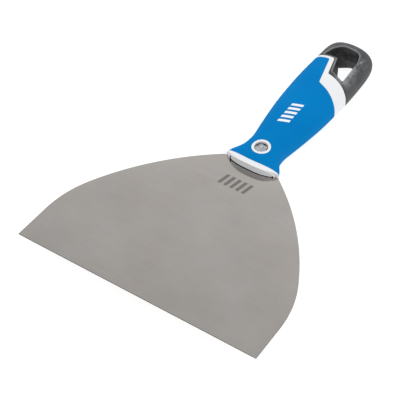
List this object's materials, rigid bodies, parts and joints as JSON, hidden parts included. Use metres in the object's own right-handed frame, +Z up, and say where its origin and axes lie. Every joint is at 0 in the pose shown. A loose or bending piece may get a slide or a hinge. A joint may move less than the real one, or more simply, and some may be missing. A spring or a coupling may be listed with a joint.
{
  "type": "flexible putty knife",
  "caption": "Putty knife with a wide thin flexible steel blade, a soft blue grip on a white core and a dark hanging loop.",
  "frame": {"origin": "middle of the blade's working edge, at half the blade's thickness", "axes": "+X across the blade, +Y from the working edge to the hanging loop, +Z up out of the blade's upper face"},
  "size_m": [0.15, 0.2266, 0.0202],
  "materials": {
    "blade_steel": "satin rolled stainless sheet",
    "core_white": "smooth moulded",
    "grip_blue": "soft matt moulded",
    "loop_grey": "textured glass-filled plastic",
    "rivet_steel": "dull pressed"
  },
  "bodies": {
    "root": {"blade": "blade_steel", "handle_core": "core_white", "grip_sleeve": "grip_blue", "end_loop": "loop_grey", "rivet_post": "rivet_steel", "rivet_cap": "rivet_steel"}
  },
  "joints": []
}
